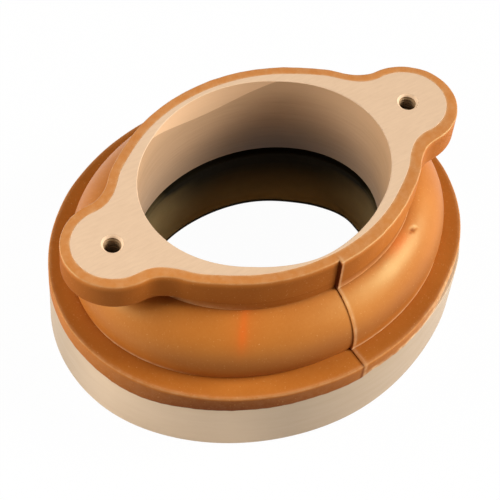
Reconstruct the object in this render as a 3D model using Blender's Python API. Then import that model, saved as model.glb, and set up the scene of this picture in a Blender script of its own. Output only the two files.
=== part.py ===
"""Oval rubber-bonded flange coupling.

A machined flange with two ears and an oval sleeve floats in moulded rubber on a metal base ring.
Units are metres, +Z is up and +X runs along the two ears. The origin is the centre of the underside.
"""

import math

import bmesh
import bpy
from mathutils import Matrix, Vector

MM = 0.001

# Bore: an oval that changes its proportions evenly from the top face to the underside
HEIGHT = 65.0 * MM  # top face over underside
BORE_LENGTH = 88.9 * MM  # at the top face, along the ears
BORE_WIDTH = 74.2 * MM  # at the top face, across the ears
FOOT_LENGTH = 92.8 * MM  # at the underside
FOOT_WIDTH = 68.6 * MM
MOUTH_LAND = 0.7 * MM  # metal left outside the round mouth relief, on the flange's long sides
MOUTH_DEPTH = 9.0 * MM  # the relief runs out into the bore at this depth

# Flange and sleeve, one machined piece
RIM_END = 5.8 * MM  # rim of the flange's oval at the ends of the bore
RIM_SIDE = 2.4 * MM  # and beside the bore
FLANGE_THICKNESS = 9.0 * MM
SLEEVE_FLOAT = 6.7 * MM  # free height between the sleeve's end and the base ring
SLEEVE_WALL = 2.3 * MM
HOLE_SPACING = 118.2 * MM  # centre to centre of the ears' threaded holes
EAR_RADIUS = 14.0 * MM
EAR_FILLET = 17.0 * MM  # concave corner between an ear and the oval

# Thread inserts in the ears
INSERT_BORE = 6.2 * MM
INSERT_WALL = 0.6 * MM
INSERT_RECESS = 0.6 * MM  # below the top face
INSERT_FIT = 0.15 * MM  # gap round an insert

# Rubber moulding
SKIN = 3.0 * MM  # over the flange's edge
UNDERCOAT = 2.0 * MM  # under the ears
SKIRT_FALL = 3.5 * MM  # from the ears' undersides to the foot of the straight wall
BULGE_END = 14.9 * MM  # how far the bulge stands out of that wall, at the ends of the oval
BULGE_SIDE = 13.0 * MM  # and at its sides
BULGE_LIFT = 4.6 * MM  # height over the ledge where the bulge is widest
COVER = 6.3 * MM  # over the base ring
LINING = 3.5 * MM  # inside the base ring, at the underside
LINING_LIFT = 0.4 * MM  # lining above the underside
SLEEVE_RUN = 2.5 * MM  # clear space round the sleeve inside the base

# Base ring
BASE_LENGTH = 150.8 * MM
BASE_WIDTH = 127.0 * MM
BASE_HEIGHT = 22.8 * MM
BASE_CHAMFER = 0.6 * MM

GAP = 0.3 * MM  # between bonded pieces
SEGMENTS = 64  # facets round an oval
ROUND = 24  # facets round a threaded hole
PASS = 5.0 * MM  # how far a cutter runs past a face

# The moulding's bulge, from the base upwards: each slice yields in one direction
SLICES = (
    "rubber_axial_slice",
    "rubber_shear_x_slice",
    "rubber_shear_y_slice",
    "rubber_cock_x_slice",
    "rubber_cock_y_slice",
)

FLANGE_HALF = (BORE_LENGTH / 2 + RIM_END, BORE_WIDTH / 2 + RIM_SIDE)
SLEEVE_HALF = (BORE_LENGTH / 2 + SLEEVE_WALL, BORE_WIDTH / 2 + SLEEVE_WALL)
SKIN_OUT = GAP + SKIN
SKIRT_HALF = (FLANGE_HALF[0] + SKIN_OUT, FLANGE_HALF[1] + SKIN_OUT)
BASE_HALF = (BASE_LENGTH / 2, BASE_WIDTH / 2)
FLANGE_BOTTOM = HEIGHT - FLANGE_THICKNESS
SKIN_BOTTOM = FLANGE_BOTTOM - GAP - UNDERCOAT
SKIRT_BOTTOM = SKIN_BOTTOM - SKIRT_FALL
SLEEVE_BOTTOM = BASE_HEIGHT + SLEEVE_FLOAT
LEDGE = BASE_HEIGHT + GAP + COVER
BULGE_CENTRE = LEDGE + BULGE_LIFT
INSERT_RADIUS = INSERT_BORE / 2 + INSERT_WALL
ELASTIC_CENTRE = (LEDGE + SKIRT_BOTTOM) / 2


def collection(name):
    """A new collection in the scene."""
    made = bpy.data.collections.new(name)
    bpy.context.scene.collection.children.link(made)
    return made


def material(name, colour, roughness, metallic=0.0):
    """A plain Principled material."""
    made = bpy.data.materials.new(name)
    made.use_nodes = True
    shader = made.node_tree.nodes["Principled BSDF"]
    shader.inputs["Base Color"].default_value = (*colour, 1.0)
    shader.inputs["Roughness"].default_value = roughness
    shader.inputs["Metallic"].default_value = metallic
    return made


def finish(bm, name, group, pivot=0.0):
    """Turns a bmesh into an object whose origin is on the Z axis at the height pivot."""
    bmesh.ops.recalc_face_normals(bm, faces=bm.faces)
    mesh = bpy.data.meshes.new(name)
    bm.to_mesh(mesh)
    bm.free()
    mesh.transform(Matrix.Translation((0.0, 0.0, -pivot)))
    mesh.shade_smooth()
    mesh.set_sharp_from_angle(angle=math.radians(30))
    made = bpy.data.objects.new(name, mesh)
    made.location.z = pivot
    group.objects.link(made)
    if group == cutters:
        made.hide_render = True
        made.display_type = "WIRE"
    return made


def oval_loft(name, sections, group, ring=False, pivot=0.0):
    """A loft through ovals, each (half length, half width, height).

    A ring's sections go once round its wall, and the last meets the first. Otherwise both ends are capped.
    """
    bm = bmesh.new()
    loops = []
    for half_length, half_width, z in sections:
        place = Matrix.Translation((0, 0, z)) @ Matrix.Diagonal((half_length, half_width, 1, 1))
        loops.append(bmesh.ops.create_circle(bm, segments=SEGMENTS, radius=1, matrix=place)["verts"])
    pairs = list(zip(loops, loops[1:]))
    if ring:
        pairs.append((loops[-1], loops[0]))
    else:
        bm.faces.new(loops[0])
        bm.faces.new(loops[-1])
    for low, high in pairs:
        for i in range(SEGMENTS):
            j = (i + 1) % SEGMENTS
            bm.faces.new((low[i], low[j], high[j], high[i]))
    return finish(bm, name, group, pivot)


def cylinder(name, x, radius, bottom, top, group):
    """An upright cylinder on the X axis."""
    bm = bmesh.new()
    place = Matrix.Translation((x, 0.0, (bottom + top) / 2))
    bmesh.ops.create_cone(
        bm, cap_ends=True, segments=ROUND, radius1=radius, radius2=radius, depth=top - bottom, matrix=place
    )
    return finish(bm, name, group)


def arc(centre, radius, start, end, steps):
    """Points on a circular arc, without its first point."""
    turns = [start + (end - start) * i / steps for i in range(1, steps + 1)]
    return [centre + radius * Vector((math.cos(t), math.sin(t))) for t in turns]


def on_oval(t, out):
    """The point of the flange's oval at the angle t, moved outwards by out along its normal."""
    a, b = FLANGE_HALF
    normal = Vector((b * math.cos(t), a * math.sin(t))).normalized()
    return Vector((a * math.cos(t), b * math.sin(t))) + normal * out


def outline(out, ears=True):
    """The flange's edge moved outwards by out: an oval, with a round ear and concave fillets at each end."""
    ear = Vector((HOLE_SPACING / 2, 0.0))
    low, high = 0.0, math.pi / 2
    for _ in range(50):  # where a fillet of the right radius touches both the oval and the ear
        t = (low + high) / 2
        near = (on_oval(t, EAR_FILLET) - ear).length < EAR_RADIUS + EAR_FILLET
        low, high = (t, high) if near else (low, t)
    corner = on_oval(t, EAR_FILLET)
    to_corner = corner - ear
    lean = math.atan2(to_corner.y, to_corner.x)
    to_oval = on_oval(t, 0.0) - corner
    if ears:
        quarter = [ear + Vector((EAR_RADIUS + out, 0.0))]
        quarter += arc(ear, EAR_RADIUS + out, 0.0, lean, 10)
        quarter += arc(
            corner, EAR_FILLET - out, lean + math.pi, math.atan2(to_oval.y, to_oval.x) + 2 * math.pi, 6
        )
    else:
        quarter = [on_oval(t * i / 8, out) for i in range(9)]
    quarter += [on_oval(t + (math.pi / 2 - t) * i / 10, out) for i in range(1, 11)]
    half = quarter + [Vector((-p.x, p.y)) for p in reversed(quarter[:-1])]
    return half + [Vector((p.x, -p.y)) for p in reversed(half[1:-1])]


def plate(name, points, bottom, top, group):
    """A flat plate with that outline, made as a filled 2D curve and then turned into a mesh."""
    curve = bpy.data.curves.new(name + "_outline", "CURVE")
    curve.dimensions = "2D"
    curve.fill_mode = "BOTH"
    curve.extrude = (top - bottom) / 2
    spline = curve.splines.new("POLY")
    spline.points.add(len(points) - 1)
    for point, p in zip(spline.points, points):
        point.co = (p.x, p.y, 0.0, 1.0)
    spline.use_cyclic_u = True
    drawn = bpy.data.objects.new(name + "_outline", curve)
    group.objects.link(drawn)
    bpy.context.view_layer.update()
    mesh = bpy.data.meshes.new_from_object(drawn.evaluated_get(bpy.context.evaluated_depsgraph_get()))
    bpy.data.objects.remove(drawn)
    bm = bmesh.new()
    bm.from_mesh(mesh)
    bmesh.ops.remove_doubles(bm, verts=bm.verts, dist=0.01 * MM)
    bmesh.ops.translate(bm, verts=bm.verts, vec=(0.0, 0.0, (bottom + top) / 2))
    bpy.data.meshes.remove(mesh)
    return finish(bm, name, group)


def boolean(body, tool, operation):
    """Cuts a tool out of a body, or joins it on."""
    made = body.modifiers.new(tool.name, "BOOLEAN")
    made.operation = operation
    made.object = tool
    made.solver = "EXACT"


def bore_half(z):
    """Half length and half width of the bore at a height."""
    rise = z / HEIGHT
    length = FOOT_LENGTH + (BORE_LENGTH - FOOT_LENGTH) * rise
    width = FOOT_WIDTH + (BORE_WIDTH - FOOT_WIDTH) * rise
    return length / 2, width / 2


def bulge_half(z):
    """Half length and half width of the bulge at a height.

    Its section is the circle that leaves the foot of the straight wall and is widest at BULGE_CENTRE.
    """
    rise = SKIRT_BOTTOM - BULGE_CENTRE
    halves = []
    for wall, reach in zip(SKIRT_HALF, (BULGE_END, BULGE_SIDE)):
        radius = (rise**2 / reach + reach) / 2
        halves.append(wall + reach - radius + math.sqrt(radius**2 - (z - BULGE_CENTRE) ** 2))
    return halves


for old in list(bpy.data.objects):
    bpy.data.objects.remove(old)
parts = collection("oval_flange_coupling")
cutters = collection("cutters")

bare_metal = material("machined_metal", (0.80, 0.62, 0.45), 0.45, 0.3)
base_metal = material("base_metal", (0.62, 0.54, 0.43), 0.5, 0.3)
steel = material("insert_steel", (0.45, 0.42, 0.36), 0.35, 1.0)
rubber = material("copper_brown_rubber", (0.50, 0.19, 0.05), 0.5)
dark_rubber = material("lining_rubber", (0.06, 0.045, 0.02), 0.6)

# Flange: eared plate and sleeve in one, with the oval bore, its round mouth relief and the ears' holes
top_flange = plate("top_flange", outline(0.0), FLANGE_BOTTOM, HEIGHT, parts)
sleeve = oval_loft(
    "sleeve_blank",
    [(*SLEEVE_HALF, SLEEVE_BOTTOM), (*SLEEVE_HALF, (FLANGE_BOTTOM + HEIGHT) / 2)],
    cutters,
)
boolean(top_flange, sleeve, "UNION")
bore = oval_loft(
    "bore_cutter", [(*bore_half(z), z) for z in (SLEEVE_BOTTOM - PASS, HEIGHT + PASS)], cutters
)
boolean(top_flange, bore, "DIFFERENCE")
mouth_radius = FLANGE_HALF[1] - MOUTH_LAND
run_out_radius = bore_half(HEIGHT - MOUTH_DEPTH)[1]
mouth_slope = (mouth_radius - run_out_radius) / MOUTH_DEPTH
mouth = oval_loft(
    "mouth_cutter",
    [
        (mouth_radius + mouth_slope * rise, mouth_radius + mouth_slope * rise, HEIGHT + rise)
        for rise in (-MOUTH_DEPTH - PASS, PASS)
    ],
    cutters,
)
boolean(top_flange, mouth, "DIFFERENCE")

# Threaded inserts, sunk a little below the top face
for side, sign in (("left", -1), ("right", 1)):
    x = sign * HOLE_SPACING / 2
    hole = cylinder(
        f"hole_cutter_{side}", x, INSERT_RADIUS + INSERT_FIT, FLANGE_BOTTOM - PASS, HEIGHT + PASS, cutters
    )
    boolean(top_flange, hole, "DIFFERENCE")
    insert = cylinder(
        f"thread_insert_{side}", x, INSERT_RADIUS, FLANGE_BOTTOM, HEIGHT - INSERT_RECESS, parts
    )
    thread = cylinder(
        f"thread_cutter_{side}", x, INSERT_BORE / 2, FLANGE_BOTTOM - PASS, HEIGHT + PASS, cutters
    )
    boolean(insert, thread, "DIFFERENCE")
    insert.data.materials.append(steel)

# Rubber skin: wraps the flange's edge and the ears' undersides, and runs down as a straight wall
flange_skin = plate("rubber_flange_skin", outline(SKIN_OUT), SKIN_BOTTOM, HEIGHT, parts)
skirt = plate("skirt_blank", outline(SKIN_OUT, ears=False), SKIRT_BOTTOM, FLANGE_BOTTOM, cutters)
boolean(flange_skin, skirt, "UNION")
pocket = plate("flange_pocket_cutter", outline(GAP), FLANGE_BOTTOM - GAP, HEIGHT + PASS, cutters)
boolean(flange_skin, pocket, "DIFFERENCE")
sleeve_room = [half + GAP for half in SLEEVE_HALF]
room = oval_loft(
    "sleeve_room_cutter", [(*sleeve_room, SKIRT_BOTTOM - PASS), (*sleeve_room, HEIGHT)], cutters
)
boolean(flange_skin, room, "DIFFERENCE")

# Bulge: stacked slices of the moulding between the base and the straight wall
slice_pitch = (SKIRT_BOTTOM - LEDGE - GAP) / len(SLICES)
for i, name in enumerate(SLICES):
    bottom = LEDGE + GAP + i * slice_pitch
    top = bottom + slice_pitch - GAP
    wall = [(*bulge_half(z), z) for z in (bottom, (bottom + top) / 2, top)]
    walls = [(*sleeve_room, bottom), *wall, (*sleeve_room, top)]
    layer = oval_loft(name, walls, parts, ring=True, pivot=ELASTIC_CENTRE)
    layer.data.materials.append(rubber)

# Base ring, with the rubber over its top and inside its bore
lining_half = [half + LINING for half in bore_half(0.0)]
ring_hole = [half + GAP for half in lining_half]
ring_foot = [half - BASE_CHAMFER for half in BASE_HALF]
base_ring = oval_loft(
    "base_ring",
    [
        (*ring_hole, 0.0),
        (*ring_foot, 0.0),
        (*BASE_HALF, BASE_CHAMFER),
        (*BASE_HALF, BASE_HEIGHT),
        (*ring_hole, BASE_HEIGHT),
    ],
    parts,
    ring=True,
)
run_half = [half + SLEEVE_RUN for half in SLEEVE_HALF]
base_cover = oval_loft(
    "rubber_base_cover",
    [
        (*run_half, BASE_HEIGHT + GAP),
        (*BASE_HALF, BASE_HEIGHT + GAP),
        (*BASE_HALF, LEDGE),
        (*run_half, LEDGE),
    ],
    parts,
    ring=True,
)
bore_lining = oval_loft(
    "rubber_bore_lining",
    [
        (*bore_half(LINING_LIFT), LINING_LIFT),
        (*lining_half, LINING_LIFT),
        (*lining_half, BASE_HEIGHT),
        (*bore_half(BASE_HEIGHT), BASE_HEIGHT),
    ],
    parts,
    ring=True,
)

top_flange.data.materials.append(bare_metal)
flange_skin.data.materials.append(rubber)
base_cover.data.materials.append(rubber)
bore_lining.data.materials.append(dark_rubber)
base_ring.data.materials.append(base_metal)
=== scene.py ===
# %% [markdown]
# # An oval flexible coupling
# A machined flange with two threaded ears floats on a moulded rubber bulge, which is bonded to a plain
# metal base ring. The imported solids say where everything is and how it moves. This lesson dresses them:
# each piece is worked out as a numpy surface, and all but the bulge's bands ride on the body of the solid it
# stands for.

# %% The frame and its sizes
import math

import bmesh
import bpy
import numpy as np
from mathutils import Matrix, Vector
from mathutils.geometry import delaunay_2d_cdt


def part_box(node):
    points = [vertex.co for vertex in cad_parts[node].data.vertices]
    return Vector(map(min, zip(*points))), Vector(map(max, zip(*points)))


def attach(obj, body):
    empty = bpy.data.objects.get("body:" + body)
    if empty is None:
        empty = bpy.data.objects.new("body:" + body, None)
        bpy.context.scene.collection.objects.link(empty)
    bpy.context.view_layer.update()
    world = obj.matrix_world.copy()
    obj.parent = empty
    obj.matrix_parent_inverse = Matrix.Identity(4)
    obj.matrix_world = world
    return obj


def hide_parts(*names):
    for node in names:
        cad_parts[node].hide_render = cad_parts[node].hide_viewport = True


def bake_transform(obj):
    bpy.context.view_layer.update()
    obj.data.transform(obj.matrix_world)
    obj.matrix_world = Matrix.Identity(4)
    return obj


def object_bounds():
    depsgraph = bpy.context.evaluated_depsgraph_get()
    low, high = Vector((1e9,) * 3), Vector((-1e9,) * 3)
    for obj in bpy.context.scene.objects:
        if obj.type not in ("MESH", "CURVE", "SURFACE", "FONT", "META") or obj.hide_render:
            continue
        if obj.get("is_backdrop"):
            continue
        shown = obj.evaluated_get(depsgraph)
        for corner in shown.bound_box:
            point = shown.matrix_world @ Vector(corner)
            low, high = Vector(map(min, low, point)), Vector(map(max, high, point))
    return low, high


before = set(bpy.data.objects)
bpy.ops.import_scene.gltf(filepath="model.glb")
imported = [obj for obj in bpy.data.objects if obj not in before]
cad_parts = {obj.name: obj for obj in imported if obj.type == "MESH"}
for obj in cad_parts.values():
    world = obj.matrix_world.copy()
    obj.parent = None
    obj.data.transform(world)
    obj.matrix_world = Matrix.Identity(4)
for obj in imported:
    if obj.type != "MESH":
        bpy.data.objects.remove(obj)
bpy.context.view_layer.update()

MM = 0.001
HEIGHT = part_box("top_flange")[1].z
SLEEVE_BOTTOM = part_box("top_flange")[0].z
SKIRT_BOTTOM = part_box("rubber_flange_skin")[0].z
COVER_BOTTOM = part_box("rubber_base_cover")[0].z
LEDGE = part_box("rubber_base_cover")[1].z
RING_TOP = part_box("base_ring")[1].z
BASE_HALF = np.array(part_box("base_ring")[1])[:2]

# %% [markdown]
# The solids are bonded with a small gap between them, and their ovals have few facets. The dressed pieces
# repeat the same measures, close the gaps and use enough stations for a smooth edge at any distance.

# %% Measures of the flange and the rubber
BORE_TOP = np.array([88.9, 74.2]) * MM / 2
BORE_FOOT = np.array([92.8, 68.6]) * MM / 2
FLANGE_HALF = BORE_TOP + np.array([5.8, 2.4]) * MM
SLEEVE_HALF = BORE_TOP + 2.3 * MM
FLANGE_BOTTOM = HEIGHT - 9.0 * MM
MOUTH_HALF = np.array([42.5, 38.0]) * MM
MOUTH_DEPTH = 9.0 * MM
NEAR_CUT = 0.75 * MM
EAR_X = 59.1 * MM
EAR_RADIUS = 14.0 * MM
EAR_FILLET = 17.0 * MM
SKIN_OUT = 3.3 * MM
SKIN_BOTTOM = FLANGE_BOTTOM - 2.3 * MM
SKIRT_HALF = FLANGE_HALF + SKIN_OUT
BULGE_REACH = np.array([14.9, 13.0]) * MM
BULGE_CENTRE = LEDGE + 4.6 * MM
SLEEVE_ROOM = SLEEVE_HALF + 0.3 * MM
RUN_HALF = SLEEVE_HALF + 2.5 * MM
BAND_ROOM = SLEEVE_HALF + 2.9 * MM
LINING_HALF = BORE_FOOT + 3.5 * MM
print("bulge reaches out to", (SKIRT_HALF + BULGE_REACH) / MM, "mm")

# %% [markdown]
# The moulding was made between two mould halves that did not meet quite true, so a step runs down its
# front. All rubber rings therefore share one list of stations: the right half, then the left half, with
# a tiny pause where the halves meet. A station is a turn t on an oval, x = a cos t and y = b sin t. What
# varies round the part is said with two curves, an ease and a bell, over the turn in degrees.

# %% Stations round the moulding
HALF_STATIONS = 420
PAUSE = 0.0007
half_turn = np.linspace(-math.pi / 2 + PAUSE, math.pi / 2 - PAUSE, HALF_STATIONS)
turn = np.concatenate([half_turn, half_turn + math.pi])
turn_deg = np.degrees(turn)
right = np.arange(len(turn)) < HALF_STATIONS
from_parting = np.where(right, turn + math.pi / 2, turn - 3 * math.pi / 2)


def smooth(x, start=0.0, stop=1.0):
    """Eases from 0 at start to 1 at stop: 3 s squared minus 2 s cubed, with s the share of the way."""
    s = np.clip((x - start) / (stop - start), 0.0, 1.0)
    return s * s * (3 - 2 * s)


def bell(x, width):
    """A bell curve, exp(-(x / width)^2)."""
    return np.exp(-((x / width) ** 2))


def turn_bell(t, centre, width):
    """A bell round the turn, by the degrees from its centre the short way round."""
    return bell(np.degrees(np.angle(np.exp(1j * (t - math.radians(centre))))), width)


mismatch = np.where(right, smooth(turn_deg, 70, -50), 0.0)
# Painted shadow beside the mould's step, and a painted highlight on the right half's proud edge.
step_shade = np.zeros(len(turn))
step_shade[[0, -1, -2]] = 0.65, 0.9, 0.4
step_light = np.where(right, bell(from_parting - 0.014, 0.008), 0.0)
left_lip = smooth(turn_deg, 178, 193) * smooth(turn_deg, 246, 218)
half_lip = np.where(right, smooth(turn_deg, 88, 58), left_lip)
print(len(turn), "stations round the moulding")


# %% [markdown]
# The flange's edge is an oval with a round ear at each end and a concave fillet in each corner. The
# fillet's centre is as far outside the oval as its radius, and one radius sum away from the ear's centre,
# which a bisection finds. Every parallel edge then shares the same three centres. The casting is fuller
# than that in its four corners and a little shorter at the ears' tips, which an offset along the edge adds.

# %% The eared edge
def on_oval(t, out):
    """The flange's oval at the turn t, moved out along its normal (b cos t, a sin t)."""
    a, b = FLANGE_HALF
    normal = np.stack([b * np.cos(t), a * np.sin(t)], -1)
    normal /= np.linalg.norm(normal, axis=-1, keepdims=True)
    return np.stack([a * np.cos(t), b * np.sin(t)], -1) + np.asarray(out)[..., None] * normal


ear_centre = np.array([EAR_X, 0.0])
low, high = 0.0, math.pi / 2
for _ in range(50):
    middle = (low + high) / 2
    near = np.linalg.norm(on_oval(middle, EAR_FILLET) - ear_centre) < EAR_RADIUS + EAR_FILLET
    low, high = (middle, high) if near else (low, middle)
EAR_TURN = (low + high) / 2
corner = on_oval(EAR_TURN, EAR_FILLET)
lean = math.atan2(*(corner - ear_centre)[::-1])
touch = math.atan2(*(on_oval(EAR_TURN, 0.0) - corner)[::-1]) + 2 * math.pi


def around(centre, radius, angle):
    """Points on a circle, centre plus radius times (cos, sin)."""
    return centre + np.asarray(radius)[..., None] * np.stack([np.cos(angle), np.sin(angle)], -1)


CORNER_AT = 30.0
CORNER_FILL = 1.5 * MM
TIP_SHORT = 0.45 * MM


def fullness(quarter):
    """Offset along a quarter of the edge: a bell at the corner, wider towards the oval, and a short tip."""
    past = np.degrees(quarter) - CORNER_AT
    in_corner = bell(past, np.where(past < 0, 6.5, 12.0))
    return CORNER_FILL * in_corner - TIP_SHORT * smooth(past, -8, -22)


def eared(out):
    """The flange's edge moved out: past EAR_TURN the oval, before it the fillet and the ear by arc length."""
    quarter = np.arcsin(np.abs(np.sin(turn)))
    out = out + fullness(quarter)
    ear_arc = (EAR_RADIUS + out) * lean
    corner_arc = (EAR_FILLET - out) * abs(touch - lean - math.pi)
    gone = np.clip(quarter / EAR_TURN, 0, 1) * (ear_arc + corner_arc)
    on_ear = around(ear_centre, EAR_RADIUS + out, gone / (EAR_RADIUS + out))
    swept = (gone - ear_arc) / corner_arc
    on_corner = around(corner, EAR_FILLET - out, lean + math.pi + swept * (touch - lean - math.pi))
    path = np.where((gone < ear_arc)[:, None], on_ear, on_corner)
    path = np.where((quarter < EAR_TURN)[:, None], path, on_oval(quarter, out))
    return path * np.sign(np.stack([np.cos(turn), np.sin(turn)], -1))


def oval(half, t=turn):
    """A plain oval: (a cos t, b sin t)."""
    return np.stack([half[0] * np.cos(t), half[1] * np.sin(t)], -1)


def raised(ring, z):
    """A flat ring of points lifted to a height, which may differ from point to point."""
    return np.concatenate([ring, np.broadcast_to(np.asarray(z, float), ring.shape[:1])[:, None]], -1)


print("ear fillet meets the oval at", round(math.degrees(EAR_TURN), 1), "degrees")


# %% [markdown]
# One maker turns stacked rings into a mesh. Faces run from ring to ring, counted so that they point
# outwards when the rings go over the top, down the outside, in at the bottom and up the inside. The other
# helpers mark points for the materials, give some rings a second finish and link the piece to its body.

# %% From rings to a piece
def quads(rows, columns, close=True):
    """Corner numbers of a grid's faces. The last column joins the first, and with close the last row too."""
    r = np.arange(rows if close else rows - 1)[:, None]
    c = np.arange(columns)[None, :]
    below, beside = (r + 1) % rows, (c + 1) % columns
    corners = (r * columns + c, below * columns + c, below * columns + beside, r * columns + beside)
    return np.stack(np.broadcast_arrays(*corners), -1).reshape(-1, 4)


def mesh_from(name, points, faces):
    """A mesh from a point array and a list of face arrays, each with its own count of corners."""
    loops = np.concatenate([f.ravel() for f in faces]).astype(np.int32)
    counts = np.concatenate([np.full(len(f), f.shape[1]) for f in faces])
    starts = np.concatenate([[0], np.cumsum(counts)[:-1]]).astype(np.int32)
    mesh = bpy.data.meshes.new(name)
    mesh.vertices.add(len(points))
    mesh.vertices.foreach_set("co", np.asarray(points, np.float32).ravel())
    mesh.loops.add(len(loops))
    mesh.loops.foreach_set("vertex_index", loops)
    mesh.polygons.add(len(starts))
    mesh.polygons.foreach_set("loop_start", starts)
    mesh.update(calc_edges=True)
    mesh.shade_smooth()
    return mesh


def ring_mesh(name, rows, close=True):
    """A mesh from stacked rings of equal counts."""
    return mesh_from(name, rows.reshape(-1, 3), [quads(*rows.shape[:2], close=close)])


def mark(mesh, **values):
    """Point attributes for the materials, one array for each name."""
    for name, value in values.items():
        made = mesh.attributes.new(name, "FLOAT", "POINT")
        made.data.foreach_set("value", np.asarray(value, np.float32).ravel())


def second_finish(mesh, material, chosen):
    """Gives the chosen rows of faces another material than the first."""
    mesh.materials.append(material)
    each = np.repeat(chosen, len(mesh.polygons) // len(chosen))
    mesh.polygons.foreach_set("material_index", each.astype(np.int32))


def place(mesh, material, body, slot, *nodes):
    """Links a mesh as a piece that rides on a body and stands for solids."""
    piece = bpy.data.objects.new(mesh.name, mesh)
    bpy.context.scene.collection.objects.link(piece)
    mesh.materials.append(material)
    if body:
        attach(piece, body)
    if nodes:
        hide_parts(*nodes)
    print(piece.name, len(mesh.polygons), "faces")
    return piece


def wander(seed, waves):
    """A seeded uneven line round the ring: a sum of sines, each about as strong as the next."""
    draw = np.random.default_rng(seed)
    phase = draw.uniform(0, 2 * math.pi, len(waves))
    return np.sin(np.outer(turn, waves) + phase).sum(1) / math.sqrt(len(waves))


# %% [markdown]
# The finishes are built from noise on Object coordinates, so they hold still when a piece moves. A small
# helper wires a node from its type, its settings and what goes into its sockets.

# %% Wiring nodes
def finish_named(name):
    """A new material, its node maker, its socket feeder, its Principled shader and Object coordinates."""
    made = bpy.data.materials.new(name)
    made.use_nodes = True
    tree = made.node_tree
    shader = tree.nodes["Principled BSDF"]

    def node(kind, settings=None, **sockets):
        new = tree.nodes.new(kind)
        for key, value in (settings or {}).items():
            setattr(new, key, value)
        for key, value in sockets.items():
            feed(new, key.replace("_", " "), value)
        return new

    def feed(target, key, value):
        socket = target.inputs[int(key)] if key.isdigit() else target.inputs[key]
        if isinstance(value, bpy.types.NodeSocket):
            tree.links.new(value, socket)
        else:
            socket.default_value = value

    return made, node, feed, shader, node("ShaderNodeTexCoord").outputs["Object"]


def noise(node, at, scale, detail, roughness):
    """The grey value of a noise, with scale in waves per metre."""
    made = node("ShaderNodeTexNoise", None, Vector=at, Scale=scale, Detail=detail, Roughness=roughness)
    return made.outputs["Fac"]


def painted(node, name):
    """A point attribute of the mesh."""
    return node("ShaderNodeAttribute", {"attribute_name": name}).outputs["Fac"]


def ramp(node, value, *colours):
    """A colour ramp with a stop for each (position, colour) pair."""
    made = node("ShaderNodeValToRGB", None, Fac=value)
    for element, (position, colour) in zip(made.color_ramp.elements, colours):
        element.position = position
        element.color = (*colour, 1.0)
    return made.outputs["Color"]


def blend_colour(node, factor, under, over):
    """Lays one colour over another by a factor."""
    mix = node("ShaderNodeMix", {"data_type": "RGBA"})
    for index, value in ((0, factor), (6, under), (7, over)):
        socket = mix.inputs[index]
        if isinstance(value, bpy.types.NodeSocket):
            mix.id_data.links.new(value, socket)
        else:
            socket.default_value = value if index == 0 else (*value, 1.0)
    return mix.outputs[2]


def span(node, value, low, high, to_low, to_high):
    """Maps a value from one range to another."""
    made = node("ShaderNodeMapRange", None, Value=value)
    for key, number in (("From Min", low), ("From Max", high), ("To Min", to_low), ("To Max", to_high)):
        made.inputs[key].default_value = number
    return made.outputs["Result"]


# %% [markdown]
# The rubber is copper-brown and satin. Its tone drifts over a few centimetres, fine grain breaks the
# shine and edges go pale with wear. Painted shade darkens inner corners, the mould's step, the foot of the
# bulge and the walls that face away from the lamps, and painted highlights lighten the step's edge and the
# pit. A painted picture could say where, but the attributes for wear and painted highlight, for painted
# shade and for blush are worked out with the rings, so they follow the shape exactly.

# %% Copper-brown rubber
def copper_rubber(name, specular, gloss):
    """Moulded rubber with drift, grain, pale wear and painted highlights, and painted shade; gloss is its
    lowest roughness.
    """
    made, node, feed, shader, at = finish_named(name)
    drift = noise(node, at, 38.0, 3.0, 0.55)
    grain = noise(node, at, 900.0, 3.0, 0.6)
    chips = noise(node, at, 420.0, 4.0, 0.65)
    dust = noise(node, at, 1300.0, 4.0, 0.7)
    waves = noise(node, at, 95.0, 2.0, 0.5)
    # The painted shade attribute darkens the colour where shade falls, and roughens the surface too.
    crease = painted(node, "crease")
    chipped = span(node, chips, 0.38, 0.66, 0.45, 1.0)
    # Pale wear and painted highlights, broken up by chips.
    chipped_wear_and_highlight = node("ShaderNodeMath", {"operation": "MULTIPLY"}, **{"0": painted(node, "worn"), "1": chipped})
    colour = ramp(node, drift, (0.3, (0.49, 0.141, 0.0165)), (0.7, (0.575, 0.179, 0.024)))
    layers = (
        (span(node, grain, 0.35, 0.75, 0.0, 0.22), (0.62, 0.23, 0.045)),
        (crease, (0.15, 0.024, 0.001)),
        (painted(node, "blush"), (0.78, 0.13, 0.010)),
        (span(node, dust, 0.62, 0.72, 0.0, 0.45), (0.80, 0.45, 0.17)),
        (chipped_wear_and_highlight.outputs[0], (0.78, 0.51, 0.27)),
    )
    for factor, over in layers:
        colour = blend_colour(node, factor, colour, over)
    feed(shader, "Base Color", colour)
    satin = span(node, drift, 0.3, 0.7, gloss, gloss + 0.1)
    dulled = node("ShaderNodeMath", {"operation": "MULTIPLY_ADD"}, **{"0": crease, "1": 0.45, "2": satin})
    feed(shader, "Roughness", dulled.outputs[0])
    shader.inputs["Specular IOR Level"].default_value = specular
    shader.inputs["Specular Tint"].default_value = (0.96, 1.0, 0.45, 1.0)
    soft = node("ShaderNodeBump", None, Height=waves, Strength=0.25, Distance=0.0006)
    fine = node("ShaderNodeBump", None, Height=grain, Strength=0.16, Distance=0.00012)
    feed(fine, "Normal", soft.outputs["Normal"])
    feed(shader, "Normal", fine.outputs["Normal"])
    return made


rubber = copper_rubber("copper_rubber", 0.46, 0.35)
matt_rubber = copper_rubber("copper_rubber_matt", 0.16, 0.5)
print("rubbers made")
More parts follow.
